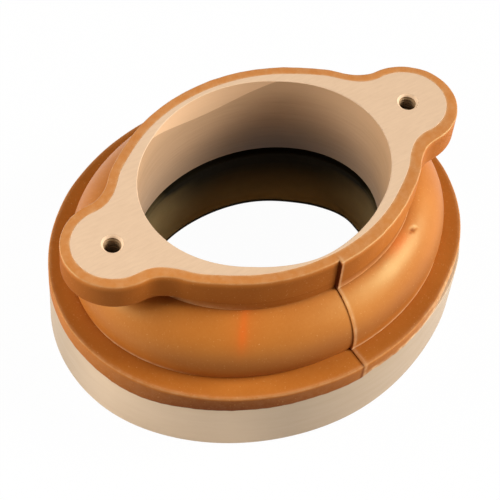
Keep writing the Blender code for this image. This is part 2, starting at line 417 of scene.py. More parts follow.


# %% [markdown]
# The metals are pale and satin. The flange's face is milled along the ears, so its noise is stretched
# along X. The bore and the base ring are turned, so theirs is stretched round them, which a noise that is
# squeezed along Z gives. The bore's wall and its relief are the flange's own metal, painted darker and
# warmer for the shade in the bore, and the thread steel is painted dark and brown for the shade in the holes.

# %% Machined metals
def machined(name, light, dark, squeeze, roughness, metallic, bump, specular=0.3):
    """Pale metal with tool lines: noise squeezed by the three numbers of squeeze, over a soft drift."""
    made, node, feed, shader, at = finish_named(name)
    along = node("ShaderNodeMapping", None, Vector=at, Scale=squeeze)
    lines = noise(node, along.outputs[0], 1.0, 5.0, 0.65)
    drift = noise(node, at, 55.0, 3.0, 0.55)
    colour = ramp(node, lines, (0.30, dark), (0.62, light))
    layers = (
        (span(node, drift, 0.35, 0.7, 0.0, 0.35), dark),
        # Lighter by wear, painted highlights and painted light.
        (painted(node, "worn"), tuple(min(1.0, c * 1.25) for c in light)),
        # Near black where painted shadow lies.
        (painted(node, "soot"), tuple(c * 0.12 for c in dark)),
    )
    for factor, over in layers:
        colour = blend_colour(node, factor, colour, over)
    feed(shader, "Base Color", colour)
    feed(shader, "Roughness", span(node, lines, 0.3, 0.7, roughness + 0.05, roughness - 0.06))
    shader.inputs["Metallic"].default_value = metallic
    shader.inputs["Specular IOR Level"].default_value = specular
    raised_lines = node("ShaderNodeBump", None, Height=lines, Strength=bump, Distance=0.00008)
    feed(shader, "Normal", raised_lines.outputs["Normal"])
    return made


# How each way of cutting squeezes its noise along X, Y and Z.
MILLED, BORED, TURNED, CUT = (170, 1000, 170), (60, 60, 1300), (60, 60, 420), (500, 500, 2500)
face_metal = machined(
    "milled_face_metal", (0.81, 0.565, 0.365), (0.75, 0.515, 0.33), MILLED, 0.55, 0.0, 0.14, specular=0.06
)
# Painted shade: the face's metal made darker and warmer inside the bore, the relief a little less so.
bore_in_painted_shade = machined(
    "turned_bore_metal_painted_shade", (0.555, 0.344, 0.184), (0.505, 0.307, 0.162), BORED, 0.5, 0.1, 0.10
)
relief_in_painted_shade = machined(
    "bored_relief_metal_painted_shade", (0.78, 0.50, 0.285), (0.72, 0.455, 0.255), BORED, 0.5, 0.1, 0.08
)
ring_metal = machined(
    "turned_ring_metal", (0.735, 0.543, 0.36), (0.705, 0.514, 0.336), TURNED, 0.52, 0.05, 0.05
)
# Painted shade: the insert steel made dark and brown for the shade inside the holes.
thread_steel_painted_shade = machined("thread_steel_painted_shade", (0.37, 0.228, 0.105), (0.235, 0.142, 0.065), CUT, 0.6, 0.2, 0.2)
print("metals made")


# %% [markdown]
# The lining inside the base is dull olive rubber, painted near black for the shadow in it. The painted
# shadow is deeper on one side and at the edges, so the mesh says where it lies.

# %% Dull lining rubber
def lining_rubber():
    """Dark olive rubber, painted black where the painted shadow attribute says so, rough, with a faint grain.
    """
    made, node, feed, shader, at = finish_named("lining_rubber_dull")
    drift = noise(node, at, 60.0, 4.0, 0.6)
    grain = noise(node, at, 1100.0, 2.0, 0.5)
    olive = ramp(node, drift, (0.3, (0.315, 0.215, 0.088)), (0.7, (0.405, 0.29, 0.124)))
    feed(shader, "Base Color", blend_colour(node, painted(node, "soot"), olive, (0.012, 0.009, 0.004)))
    shader.inputs["Specular IOR Level"].default_value = 0.03
    feed(shader, "Roughness", span(node, grain, 0.3, 0.7, 0.62, 0.78))
    bump = node("ShaderNodeBump", None, Height=grain, Strength=0.2, Distance=0.0001)
    feed(shader, "Normal", bump.outputs["Normal"])
    return made


dull_rubber = lining_rubber()
print("lining rubber made")


# %% [markdown]
# The flange's bore is an oval that changes its proportions evenly with height. A rounder mouth relief was
# bored into it from the top, a shallow cone, which cuts in only where the oval is narrow. A boolean would
# cut it too, but with ragged facets, because the two walls meet at so flat an angle. Both are known as a
# radius at each angle and height, so the line where they meet is found for every angle at once, and the
# wall below it and the relief above it get a grid each, with a crisp edge between them.

# %% Bore and mouth relief
BORE_STATIONS = 720
RIM_BREAK = 0.22 * MM
LIP_BREAK = 0.25 * MM
angle = np.linspace(0, 2 * math.pi, BORE_STATIONS, endpoint=False)


def bore_half(z):
    """Half length and half width of the bore at a height, in an even change from foot to top."""
    rise = np.asarray(z, float)[..., None] / HEIGHT
    return BORE_FOOT + (BORE_TOP - BORE_FOOT) * rise


def bore_radius(phi, z):
    """The oval's radius at a true angle: a b over the root of (b cos)^2 plus (a sin)^2."""
    half = bore_half(z)
    a, b = half[..., 0], half[..., 1]
    return a * b / np.hypot(b * np.cos(phi), a * np.sin(phi))


MOUTH_SLOPE = (MOUTH_HALF[1] - bore_half(HEIGHT - MOUTH_DEPTH)[1]) / MOUTH_DEPTH
MOUTH_OVAL = 1 - (MOUTH_HALF[1] / MOUTH_HALF[0]) ** 2


def mouth_radius(phi, z):
    """The relief's cone: half width at this depth over the root of 1 minus the ovalness times cos squared.

    At the front it was cut wider, by a bell round the turn that fades out with depth.
    """
    depth = HEIGHT - z
    cone = (MOUTH_HALF[1] - MOUTH_SLOPE * depth) / np.sqrt(1 - MOUTH_OVAL * np.cos(phi) ** 2)
    return cone + NEAR_CUT * turn_bell(phi, -97, 17) * np.clip(1 - depth / MOUTH_DEPTH, 0, 1)


def relief_line(phi):
    """Height at which the cone meets the oval, by bisection between the run-out and the rim."""
    low = np.full(phi.shape, HEIGHT - MOUTH_DEPTH - 1 * MM)
    high = np.full(phi.shape, HEIGHT - RIM_BREAK)
    for _ in range(40):
        middle = (low + high) / 2
        outside = mouth_radius(phi, middle) > bore_radius(phi, middle)
        low, high = np.where(outside, low, middle), np.where(outside, middle, high)
    return high


def polar(radius, z, phi):
    """Points from radius, height and angle arrays."""
    return np.stack([radius * np.cos(phi), radius * np.sin(phi), np.broadcast_to(z, np.shape(radius))], -1)


meeting = relief_line(angle)
wall_z = meeting + (SLEEVE_BOTTOM + LIP_BREAK - meeting) * np.linspace(0, 1, 40)[:, None]
wall_rows = polar(bore_radius(angle, wall_z), wall_z, angle)
relief_z = HEIGHT - RIM_BREAK + (meeting - HEIGHT + RIM_BREAK) * np.linspace(0, 1, 12)[:, None]
relief_radius = np.maximum(mouth_radius(angle, relief_z), bore_radius(angle, relief_z))
relief_rows = polar(relief_radius, relief_z, angle)
rim_ring = polar(relief_radius[0] + RIM_BREAK, HEIGHT, angle)
print("relief reaches down to", round(meeting.min() / MM, 1), "mm")


# %% [markdown]
# Flat faces with holes in them, such as the flange's top, are filled between their rings by a constrained
# triangulation. It keeps the rings' own points, so the face closes exactly on its neighbours.

# %% Flat faces between rings
def inside(points, ring):
    """Even-odd test: how many of the ring's edges lie to the right of each point."""
    a, b = ring, np.roll(ring, -1, 0)
    x, y = points[:, None, 0], points[:, None, 1]
    crosses = (a[:, 1] > y) != (b[:, 1] > y)
    with np.errstate(divide="ignore", invalid="ignore"):
        cut = a[:, 0] + (y - a[:, 1]) * (b[:, 0] - a[:, 0]) / (b[:, 1] - a[:, 1])
    return ((cut > x) & crosses).sum(1) % 2 == 1


def fill(outer, holes, way):
    """Triangles between an outer ring and the rings of its holes, as numbers into all rings in order.

    A triangle whose area has the other sign than way is turned over.
    """
    rings = [outer, *holes]
    points = np.concatenate(rings)
    starts = np.cumsum([0] + [len(ring) for ring in rings])
    numbers = [start + np.arange(len(ring)) for start, ring in zip(starts, rings)]
    edges = np.concatenate([np.stack([ids, np.roll(ids, -1)], -1) for ids in numbers])
    found = delaunay_2d_cdt([Vector(p) for p in points * 1000], edges.tolist(), [], 0, 1e-6)
    where = np.array([ids[0] for ids in found[3]])
    triangles = where[np.array(found[2])]
    centres = points[triangles].mean(1)
    keep = inside(centres, outer)
    for hole in holes:
        keep &= ~inside(centres, hole)
    triangles = triangles[keep]
    a, b, c = (points[triangles[:, i]] for i in range(3))
    u, v = b - a, c - a
    turned = (u[:, 0] * v[:, 1] - u[:, 1] * v[:, 0]) * way < 0
    triangles[turned] = triangles[turned][:, ::-1]
    return triangles


# %% [markdown]
# The flange is assembled from its grids: bore wall, relief, a broken rim edge, the edge under the rubber,
# the sleeve's outside, its lower lip and the ears' holes for the inserts. The flat top and the underside
# are filled in between. Grids are merged where they meet, and an edge between two grids stays sharp.

# %% The machined flange
HOLE_STATIONS = 64
HOLE_RADIUS = 3.72 * MM
HOLE_BREAK = 0.01 * MM
EDGE_BREAK = 0.12 * MM
SLEEVE_BREAK = 0.3 * MM
hole_angle = np.linspace(0, 2 * math.pi, HOLE_STATIONS, endpoint=False)


def hole_ring(x, radius, z):
    """A level circle round an ear's hole."""
    return raised(around(np.array([x, 0.0]), np.full(HOLE_STATIONS, radius), hole_angle), z)


def machined_flange():
    """All grids of the flange as one closed mesh, with its grid's number on each face."""
    top_edge = raised(eared(-EDGE_BREAK), HEIGHT)
    side = [raised(eared(0.0), z) for z in (HEIGHT - EDGE_BREAK, FLANGE_BOTTOM)]
    outside = [raised(oval(SLEEVE_HALF, angle), z) for z in (FLANGE_BOTTOM, SLEEVE_BOTTOM + SLEEVE_BREAK)]
    lips = [
        raised(oval(SLEEVE_HALF - SLEEVE_BREAK, angle), SLEEVE_BOTTOM),
        polar(bore_radius(angle, SLEEVE_BOTTOM) + LIP_BREAK, SLEEVE_BOTTOM, angle),
        wall_rows[-1],
    ]
    pairs = [(relief_rows[0], rim_ring), (top_edge, side[0]), side, outside]
    pairs += [(outside[1], lips[0]), lips[:2], lips[1:]]
    mouths, ends = [], []
    for x in (-EAR_X, EAR_X):
        mouths.append(hole_ring(x, HOLE_RADIUS + HOLE_BREAK, HEIGHT))
        throat = hole_ring(x, HOLE_RADIUS, HEIGHT - HOLE_BREAK)
        ends.append(hole_ring(x, HOLE_RADIUS, FLANGE_BOTTOM))
        pairs += [(ends[-1], throat), (throat, mouths[-1])]
    points, faces, groups, first = [], [], [], 0

    def add(corners, new_faces):
        nonlocal first
        groups.append(np.full(len(new_faces), len(points)))
        points.append(corners)
        faces.append(new_faces + first)
        first += len(corners)

    for grid in (wall_rows[::-1], relief_rows[::-1], *(np.stack(pair) for pair in pairs)):
        add(grid.reshape(-1, 3), quads(*grid.shape[:2], close=False))
    for outer, holes, way in ((top_edge, [rim_ring, *mouths], 1), (side[1], [outside[0], *ends], -1)):
        add(np.concatenate([outer, *holes]), fill(outer[:, :2], [hole[:, :2] for hole in holes], way))
    by_count = [np.concatenate([f for f in faces if f.shape[1] == count]) for count in (4, 3)]
    mesh = mesh_from("machined_flange", np.concatenate(points), by_count)
    layer = mesh.attributes.new("patch", "INT", "FACE")
    layer.data.foreach_set("value", np.concatenate(groups).astype(np.int32))
    bm = bmesh.new()
    bm.from_mesh(mesh)
    bmesh.ops.remove_doubles(bm, verts=bm.verts, dist=0.002 * MM)
    bmesh.ops.dissolve_degenerate(bm, edges=bm.edges, dist=0.001 * MM)
    bm.to_mesh(mesh)
    bm.free()
    return mesh


def sharpen(mesh):
    """Edges between two patches become sharp: an edge's lowest and highest patch number differ."""
    patch = np.zeros(len(mesh.polygons), np.int32)
    mesh.attributes["patch"].data.foreach_get("value", patch)
    edge_of = np.zeros(len(mesh.loops), np.int32)
    mesh.loops.foreach_get("edge_index", edge_of)
    counts = np.zeros(len(mesh.polygons), np.int32)
    mesh.polygons.foreach_get("loop_total", counts)
    of_loop = np.repeat(patch, counts)
    lowest = np.full(len(mesh.edges), patch.max())
    highest = np.full(len(mesh.edges), -1)
    np.minimum.at(lowest, edge_of, of_loop)
    np.maximum.at(highest, edge_of, of_loop)
    sharp = mesh.attributes.get("sharp_edge") or mesh.attributes.new("sharp_edge", "BOOLEAN", "EDGE")
    sharp.data.foreach_set("value", lowest != highest)
    return patch


flange_mesh = machined_flange()
patch = sharpen(flange_mesh)
place(flange_mesh, bore_in_painted_shade, "flange", "flange_metal", "top_flange")
flange_mesh.materials.append(face_metal)
flange_mesh.materials.append(relief_in_painted_shade)
RELIEF_PATCH, RIM_PATCH, EDGE_PATCH, TOP_PATCH = 1, 2, 3, patch.max() - 1
finish = np.select([np.isin(patch, (RIM_PATCH, EDGE_PATCH, TOP_PATCH)), patch == RELIEF_PATCH], [1, 2], 0)
flange_mesh.polygons.foreach_set("material_index", finish.astype(np.int32))

# %% [markdown]
# Down in the bore the metal is painted darker for the shade there, most at the back, and near the mouth it
# is painted lighter where light falls. Both depend on the place of a point, so they are worked out from the
# mesh.

# %% Painted shade and light in the bore
SHADOW_RISE = 26 * MM
corner_at = np.zeros(len(flange_mesh.vertices) * 3, np.float32)
flange_mesh.vertices.foreach_get("co", corner_at)
corner_x, corner_y, corner_z = corner_at.reshape(-1, 3).T


def shadow_side(x, y, thickest):
    """How much painted shadow a side takes: cos squared of the angle from its darkest line."""
    return np.cos(np.arctan2(y, x) - math.radians(thickest)) ** 2


# Painted shadow: darker down the bore towards the sleeve's foot, most at the back.
painted_dark = smooth(corner_z, SLEEVE_BOTTOM + SHADOW_RISE, SLEEVE_BOTTOM)
painted_dark = painted_dark * (0.33 + 0.5 * shadow_side(corner_x, corner_y, 47) ** 2)
below_rim = corner_z < HEIGHT - RIM_BREAK / 2
# Painted light: the upper wall made lighter towards the mouth.
painted_mouth_light = 0.8 * smooth(corner_z, HEIGHT - 12 * MM, HEIGHT - 1 * MM) * below_rim
mark(flange_mesh, soot=painted_dark, worn=painted_mouth_light)
print("film in the bore up to", round(float(painted_dark.max()), 2))


# %% [markdown]
# Each ear's insert is a short steel tube with a real screw thread inside. Its bore is a grid of angle and
# height whose radius rises and falls once per pitch and once per turn, which draws the helix by itself. A
# cone leads into the thread, and the insert's top is faced off with the flange.

# %% Threaded inserts
THREAD_PITCH = 1.27 * MM
THREAD_MINOR = 2.62 * MM
THREAD_DEPTH = 0.55 * MM
THREAD_FADE = 0.9 * MM
INSERT_OUT = 3.71 * MM
INSERT_FOOT = 3.0 * MM
LEAD_IN = 3.66 * MM
LEAD_DEPTH = 0.85 * MM
LEAD_FOOT = 2.95 * MM
INSERT_TOP = HEIGHT - HOLE_BREAK


def threaded_insert(side, x):
    """Rings over the faced top, down the outside, in at the foot, up the thread and out over the lead-in."""
    steps = np.linspace(FLANGE_BOTTOM + 0.2 * MM, INSERT_TOP - LEAD_DEPTH, 110)[:, None]
    phase = steps / THREAD_PITCH - hole_angle / (2 * math.pi)
    ridge = np.abs((phase % 1.0) * 2 - 1)
    radius = THREAD_MINOR + THREAD_DEPTH * smooth(ridge * 1.15)
    radius = radius + (LEAD_FOOT - radius) * smooth(steps, steps[-1] - THREAD_FADE, steps[-1])
    outside = [
        hole_ring(x, LEAD_IN, INSERT_TOP),
        hole_ring(x, INSERT_OUT - HOLE_BREAK, INSERT_TOP),
        hole_ring(x, INSERT_OUT, INSERT_TOP - HOLE_BREAK),
        hole_ring(x, INSERT_OUT, FLANGE_BOTTOM),
        hole_ring(x, INSERT_FOOT, FLANGE_BOTTOM),
    ]
    rows = np.concatenate([np.stack(outside), polar(radius, steps, hole_angle) + np.array([x, 0, 0])])
    mesh = ring_mesh("threaded_insert_" + side, rows)
    mesh.set_sharp_from_angle(angle=math.radians(40))
    # Painted highlight: the lead-in rings are made lighter for the glints in the countersink.
    painted_glint = np.zeros(rows.shape[:2])
    painted_glint[[0, -1]] = [[1.0], [0.4]]
    mark(mesh, worn=painted_glint)
    place(mesh, thread_steel_painted_shade, "flange", "insert_steel", "thread_insert_" + side)
    second_finish(mesh, face_metal, np.isin(np.arange(len(rows)), (0, 1, len(rows) - 1)))


threaded_insert("left", -EAR_X)
threaded_insert("right", EAR_X)


# %% [markdown]
# The rubber skin starts flush beside the flange's top, turns over a soft edge and runs down as a wall. On
# the ears the wall ends in a rounded lower edge and the underside runs back to the oval, while on the
# long sides it simply goes on down. Both are one grid: each lower ring is a share of the way from the
# eared edge to the plain oval, and on the long sides those two are the same line.

# %% Flange skin
TOP_SINK = 0.06 * MM
TOP_CROWN = 0.07 * MM
TOP_ROUND = 0.55 * MM
TOP_ROWS = 8
LOW_ROUND = 0.9 * MM
UNDER_SLOPE = 0.25 * MM
STEP_OUT = 1.2 * MM
RUBBER_CREASE = math.radians(38)
QUARTER_ROUND = np.radians(np.linspace(15, 90, 6))

edge_uneven = wander(3, (9, 14, 23, 37, 61)) * np.where(right, 0.10, 0.05) * MM
flash = np.where(right, bell(from_parting, 0.010), 0.0) * 0.16 * MM
skirt_ring = oval(SKIRT_HALF)
skirt_normal = oval(SKIRT_HALF[::-1])
skirt_normal /= np.linalg.norm(skirt_normal, axis=1, keepdims=True)
wall_ring = eared(SKIN_OUT)
under_width = np.maximum(np.linalg.norm(wall_ring - skirt_ring, axis=1), 1e-9)[:, None]


def bead(z, centre, height, width):
    """A fine raised line along the moulding: a bell curve in height."""
    return height * bell(z - centre, width)


def ring_stack():
    """Lists of rings, wear and painted highlight, painted shade and share of the mould's step, and a function
    that adds a ring to them.
    """
    rows, worn, crease, moves = [], [], [], []

    def add(ring, z, edge=0.0, dark=0.0, moved=1.0):
        rows.append(raised(ring, z))
        worn.append(np.broadcast_to(edge, turn.shape))
        crease.append(np.broadcast_to(dark, turn.shape))
        moves.append([moved])

    return add, rows, worn, crease, moves


def to_skirt(share):
    """A ring that is a share of the way from the eared wall to the plain oval."""
    return wall_ring + (skirt_ring - wall_ring) * np.clip(share, 0, 1)


def flange_skin():
    """Rings from the flush inner edge over the outside down to the bulge, and back up round the flange."""
    add, rows, worn, crease, moves = ring_stack()
    flat = HEIGHT - TOP_SINK
    # Painted shade on the wall, lighter on the right half, which faces the lamp.
    lit_right_wall = smooth(from_parting, 0, 0.4) * smooth(from_parting, math.pi, math.pi - 0.9)
    wall_shade = 0.52 - 0.32 * lit_right_wall
    for share in np.linspace(0, 1, TOP_ROWS):
        out = (SKIN_OUT - TOP_ROUND) * share + edge_uneven * share
        crown = TOP_CROWN * math.sin(math.pi * share)
        add(eared(out), flat + crown, 0.22 + 0.5 * math.exp(-share / 0.09), 0.0, share)
    for bend in QUARTER_ROUND:
        out = SKIN_OUT - TOP_ROUND + TOP_ROUND * math.sin(bend) + edge_uneven * (1 - math.sin(bend) * 0.6)
        add(eared(out), flat - TOP_ROUND * (1 - math.cos(bend)), 0.1 + 0.25 * math.sin(2 * bend))
    for z in np.linspace(flat - TOP_ROUND, SKIN_BOTTOM + LOW_ROUND, 16)[1:]:
        add(eared(SKIN_OUT + edge_uneven * 0.3), z, 0.0, wall_shade * smooth(z, flat, flat - 3 * MM))
    for bend in QUARTER_ROUND:
        share = LOW_ROUND * (1 - math.cos(bend)) / under_width
        add(to_skirt(share), SKIN_BOTTOM + LOW_ROUND * (1 - math.sin(bend)), 0.0, wall_shade)
    start = np.clip(LOW_ROUND / under_width, 0, 1)
    for share in np.linspace(0, 1, 8)[1:]:
        ring = to_skirt(start + (1 - start) * share)
        add(ring, SKIN_BOTTOM - UNDER_SLOPE * share, 0.0, wall_shade + 0.15 * share)
    # Painted shade where the wall meets the bulge, except on the pale lip.
    for z in np.linspace(SKIN_BOTTOM - UNDER_SLOPE, SKIRT_BOTTOM, 14)[1:]:
        out = bead(z, SKIRT_BOTTOM + 0.25 * MM, 0.14 * MM, 0.22 * MM)
        near = half_lip * math.exp(-(z - SKIRT_BOTTOM) / (1.2 * MM))
        add(oval(SKIRT_HALF + out), z, 0.5 * near, 0.55 * (1 - near))
    add(oval((SKIRT_HALF + SLEEVE_ROOM) / 2), SKIRT_BOTTOM, moved=0.5)
    under_flange = FLANGE_BOTTOM - 0.3 * MM
    for z in (SKIRT_BOTTOM, under_flange):
        add(oval(SLEEVE_ROOM), z, moved=0.0)
    for share in (0.5, 1.0):
        add(oval(SLEEVE_ROOM) * (1 - share) + eared(0.01 * MM) * share, under_flange, moved=0.0)
    rows, shift, row = np.stack(rows), np.array(moves), np.arange(len(rows))
    rows[..., 1] -= STEP_OUT * mismatch * shift
    rows[..., :2] += (flash * shift)[..., None] * skirt_normal
    mesh = ring_mesh("flange_skin", rows)
    # Painted shadow beside the mould's step, weaker across the top band, and a painted highlight on its proud
    # edge.
    step_depth = np.where(row > TOP_ROWS + 1, 1.0, 0.25)[:, None]
    shaded = np.clip(np.stack(crease) + step_shade * shift * step_depth, 0, 1)
    lit = np.clip(np.stack(worn) + 0.5 * step_light * shift, 0, 1)
    mark(mesh, worn=lit, crease=shaded, blush=np.zeros(rows.shape[:2]))
    mesh.set_sharp_from_angle(angle=RUBBER_CREASE)
    place(mesh, rubber, "flange", "rubber", "rubber_flange_skin")
    second_finish(mesh, matt_rubber, row > TOP_ROWS + 3)


flange_skin()


# %% [markdown]
# The bulge is what gives the coupling its movement. Its section is an arc that leaves the foot of the wall
# and is widest a little above the ledge. Six joints lie between base and flange, one above the other, so
# the bulge will be cut into six level bands. It is first made whole, from the crease down to the ledge.

# %% The bulge as one surface
BAND_NODES = (
    "rubber_axial_slice",
    "rubber_shear_x_slice",
    "rubber_shear_y_slice",
    "rubber_cock_x_slice",
    "rubber_cock_y_slice",
)
BAND_NAMES = ("axial", "shear_x", "shear_y", "cock_x", "cock_y", "twist")
BAND_ROWS = 13
PIT_DEPTH = 0.45 * MM
rise = SKIRT_BOTTOM - BULGE_CENTRE
section = (rise**2 / BULGE_REACH + BULGE_REACH) / 2


def bulge_half(z):
    """Wall plus reach minus the arc's radius, plus the arc's own width at this height."""
    return SKIRT_HALF + BULGE_REACH - section + np.sqrt(section**2 - (z - BULGE_CENTRE) ** 2)


levels = np.linspace(SKIRT_BOTTOM, LEDGE, len(BAND_NAMES) + 1)
climb = np.arcsin(np.clip((levels - BULGE_CENTRE) / rise, -1, 1))
steps = [np.linspace(a, b, BAND_ROWS + 1)[:-1] for a, b in zip(climb, climb[1:])]
steps = np.concatenate([*steps, climb[-1:]])[:, None]
bulge_z = BULGE_CENTRE + rise * np.sin(steps)
step_at_wall = 0.74 * np.exp((bulge_z - SKIRT_BOTTOM) / (2.5 * MM))
step_at_foot = 0.4 * np.exp((LEDGE - bulge_z) / (4 * MM))
step_share = 0.26 + step_at_wall + step_at_foot


def spot(at_turn, at_z, wide, tall):
    """A soft spot on the bulge: a bell in the turn's degrees times a bell in the height's millimetres."""
    return bell((turn_deg - at_turn + 180) % 360 - 180, wide) * bell(bulge_z / MM - at_z, tall)


def bulge_rows():
    """The bulge's rings from the foot of the wall down to the ledge, with the mould's step, flash and flaws.
    """
    rows = np.stack([raised(oval(bulge_half(z)), z) for z in bulge_z[:, 0]])
    lean_out = np.clip(np.cos(steps), 0.0, 1.0)
    push = (0.8 * flash + 0.06 * MM * wander(11, (3, 5, 7, 12))) * lean_out
    foot = bead(bulge_z, LEDGE + 0.35 * MM, 0.22 * MM, 0.3 * MM) * half_lip
    pit = spot(-51.1, 49.1, 0.8, 0.25) + 0.6 * spot(-49.6, 48.9, 0.6, 0.2)
    rows[..., :2] += (push + foot)[..., None] * skirt_normal
    rows[..., 2] -= PIT_DEPTH * pit
    rows[..., 1] -= STEP_OUT * mismatch * step_share
    return rows


bulge = bulge_rows()
print("bulge grid", bulge.shape)

# %% [markdown]
# The bands must not show their cuts, so the shading is read from the uncut bulge and handed to each band.
# So are the painted shade at the wall, at the foot, at the mould's step and in the pit, the red blush,
# the pale foot, and the painted highlights on the step's edge and beside the pit.

# %% Shading of the uncut bulge
whole = ring_mesh("uncut_bulge", bulge, close=False)
whole.set_sharp_from_angle(angle=RUBBER_CREASE)
corner_normals = np.zeros(len(whole.loops) * 3, np.float32)
whole.corner_normals.foreach_get("vector", corner_normals)
corner_normals = corner_normals.reshape(len(bulge) - 1, len(turn), 4, 3)
bpy.data.meshes.remove(whole)

# Painted shade where the bulge meets the wall and the ledge, low at the front left, at the step and in the
# pit.
over_ledge = bulge_z - LEDGE
lit_left = smooth(from_parting, -0.95, -1.25) * smooth(from_parting, -math.pi, 0.9 - math.pi)
lit_right = smooth(from_parting, 0.3, 0.9) * smooth(from_parting, math.pi, math.pi - 0.9)
shade_near_wall = np.exp((bulge_z - SKIRT_BOTTOM) / (0.25 * MM)) * (1 - 0.35 * lit_right)
shade_near_ledge = bell(over_ledge - 7.1 * MM, 5.5 * MM) + 0.5 * np.exp(-over_ledge / (0.6 * MM))
shade_near_ledge = shade_near_ledge * (1 - 0.45 * lit_left)
low_shade = bell(over_ledge - 2 * MM, 3.5 * MM) * turn_bell(turn, 250, 22) * ~right
pit_shade = spot(-51.1, 49.1, 0.9, 0.3) + 0.7 * spot(-52.8, 49.2, 0.5, 0.2)
crease = 0.55 * shade_near_wall + 0.48 * shade_near_ledge + 0.38 * low_shade + 0.5 * step_share * step_shade
pale_foot = half_lip * np.where(right, 1.0, smooth(turn_deg, 228, 204))
pale_foot = pale_foot * bell(over_ledge - 0.5 * MM, 0.7 * MM)
front_blush = 0.5 * spot(-124.2, 46.8, 1.6, 4.4) + 0.2 * spot(-124.0, 47.0, 5.0, 5.0)
bulge_marks = {
    # Pale foot, and painted highlights on the step's edge and on the lit side of the pit.
    "worn": np.clip(0.75 * pale_foot + 0.45 * step_light + 0.35 * spot(-49.3, 49.0, 0.6, 0.3), 0, 1),
    "crease": np.clip(crease + 0.9 * pit_shade, 0, 1),
    "blush": front_blush + 0.45 * spot(-59.0, 49.5, 6.0, 1.0),
}
print("shading for", *bulge_marks)


# %% [markdown]
# Each band is a closed ring, one level slice of the bulge. It could be cut by a
# boolean, but its rings are already rows of the whole grid, so they are only taken out and given a wall
# inside. That wall stands well off the sleeve, which moves against it.

# %% Six bands
def bulge_band(number):
    """One closed ring: its share of the bulge outside, a wall round the sleeve inside."""
    joint = len(BAND_NAMES) - 1 - number
    top, bottom = number * BAND_ROWS, (number + 1) * BAND_ROWS
    own = slice(top, bottom + 1)
    top_z, bottom_z = bulge_z[top, 0], bulge_z[bottom, 0]
    inner = np.stack([raised(oval(BAND_ROOM), z) for z in (bottom_z, top_z)])
    mesh = ring_mesh(f"bulge_band_{BAND_NAMES[joint]}", np.concatenate([bulge[own], inner]))
    blank = np.zeros(inner.shape[:2])
    mark(mesh, **{name: np.concatenate([value[own], blank]) for name, value in bulge_marks.items()})
    flat = np.zeros((len(mesh.polygons), 3), np.float32)
    mesh.polygons.foreach_get("normal", flat.reshape(-1))
    normals = np.repeat(flat[:, None, :], 4, axis=1)
    normals[: BAND_ROWS * len(turn)] = corner_normals[top:bottom].reshape(-1, 4, 3)
    mesh.normals_split_custom_set(normals.reshape(-1, 3).tolist())
    piece = place(mesh, rubber, None, "rubber", *BAND_NODES[joint : joint + 1])
    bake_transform(piece)


for number in range(len(BAND_NAMES)):
    bulge_band(number)


# %% [markdown]
# Round the foot of the bulge the rubber spreads into a flat ledge with a short rim over the base ring. The
# right half stands a hair higher, and its rim is a little shorter, with a lower edge torn where the excess
# was trimmed and a place at the right where it was cut back. The rest hangs a little over the ring, most
# of all at the left.

# %% Ledge and rim
RIM_ROUND = 0.7 * MM
RIM_PROUD = 0.10 * MM
LEDGE_STEP = 0.22 * MM
CUT_BACK = 0.7 * MM
HANG, SAG, SAG_AT = 0.95 * MM, 1.9 * MM, 206
TRIM_UP, TEAR = 1.0 * MM, 0.2 * MM
trimmed = turn_bell(turn, -52, 13)
radial = np.stack([np.cos(turn), np.sin(turn)], -1)


def low_flare(t, z):
    """How far the base stands proud low down: two bells round the turn that fade in below the ring's top."""
    flare = 0.65 * turn_bell(t, -90, 20) + 0.35 * turn_bell(t, 200, 15)
    return smooth(z, RING_TOP, RING_TOP - 5 * MM) * flare * MM


def rim_line():
    """The rim's outline off its oval and the height of its lower edge, and how ragged that edge is."""
    waver = np.maximum(0.08 * MM * wander(9, (5, 8, 13, 21)), -RIM_PROUD / 2)
    uneven = waver - CUT_BACK * trimmed + 0.3 * MM * turn_bell(turn, SAG_AT, 24)
    trim = np.where(right, smooth(from_parting, 0, 0.06), 0.0) * mismatch
    cut = trim * (TRIM_UP + TEAR * wander(7, (17, 29, 43, 71, 118)))
    hang = HANG + SAG * turn_bell(turn, SAG_AT, 17)
    lower = COVER_BOTTOM - hang + cut + 0.09 * MM * wander(5, (19, 43, 71, 113))
    ragged = trim * np.clip(0.8 + 0.6 * wander(13, (23, 37, 53, 89)), 0, 1)
    return uneven[:, None], lower, ragged


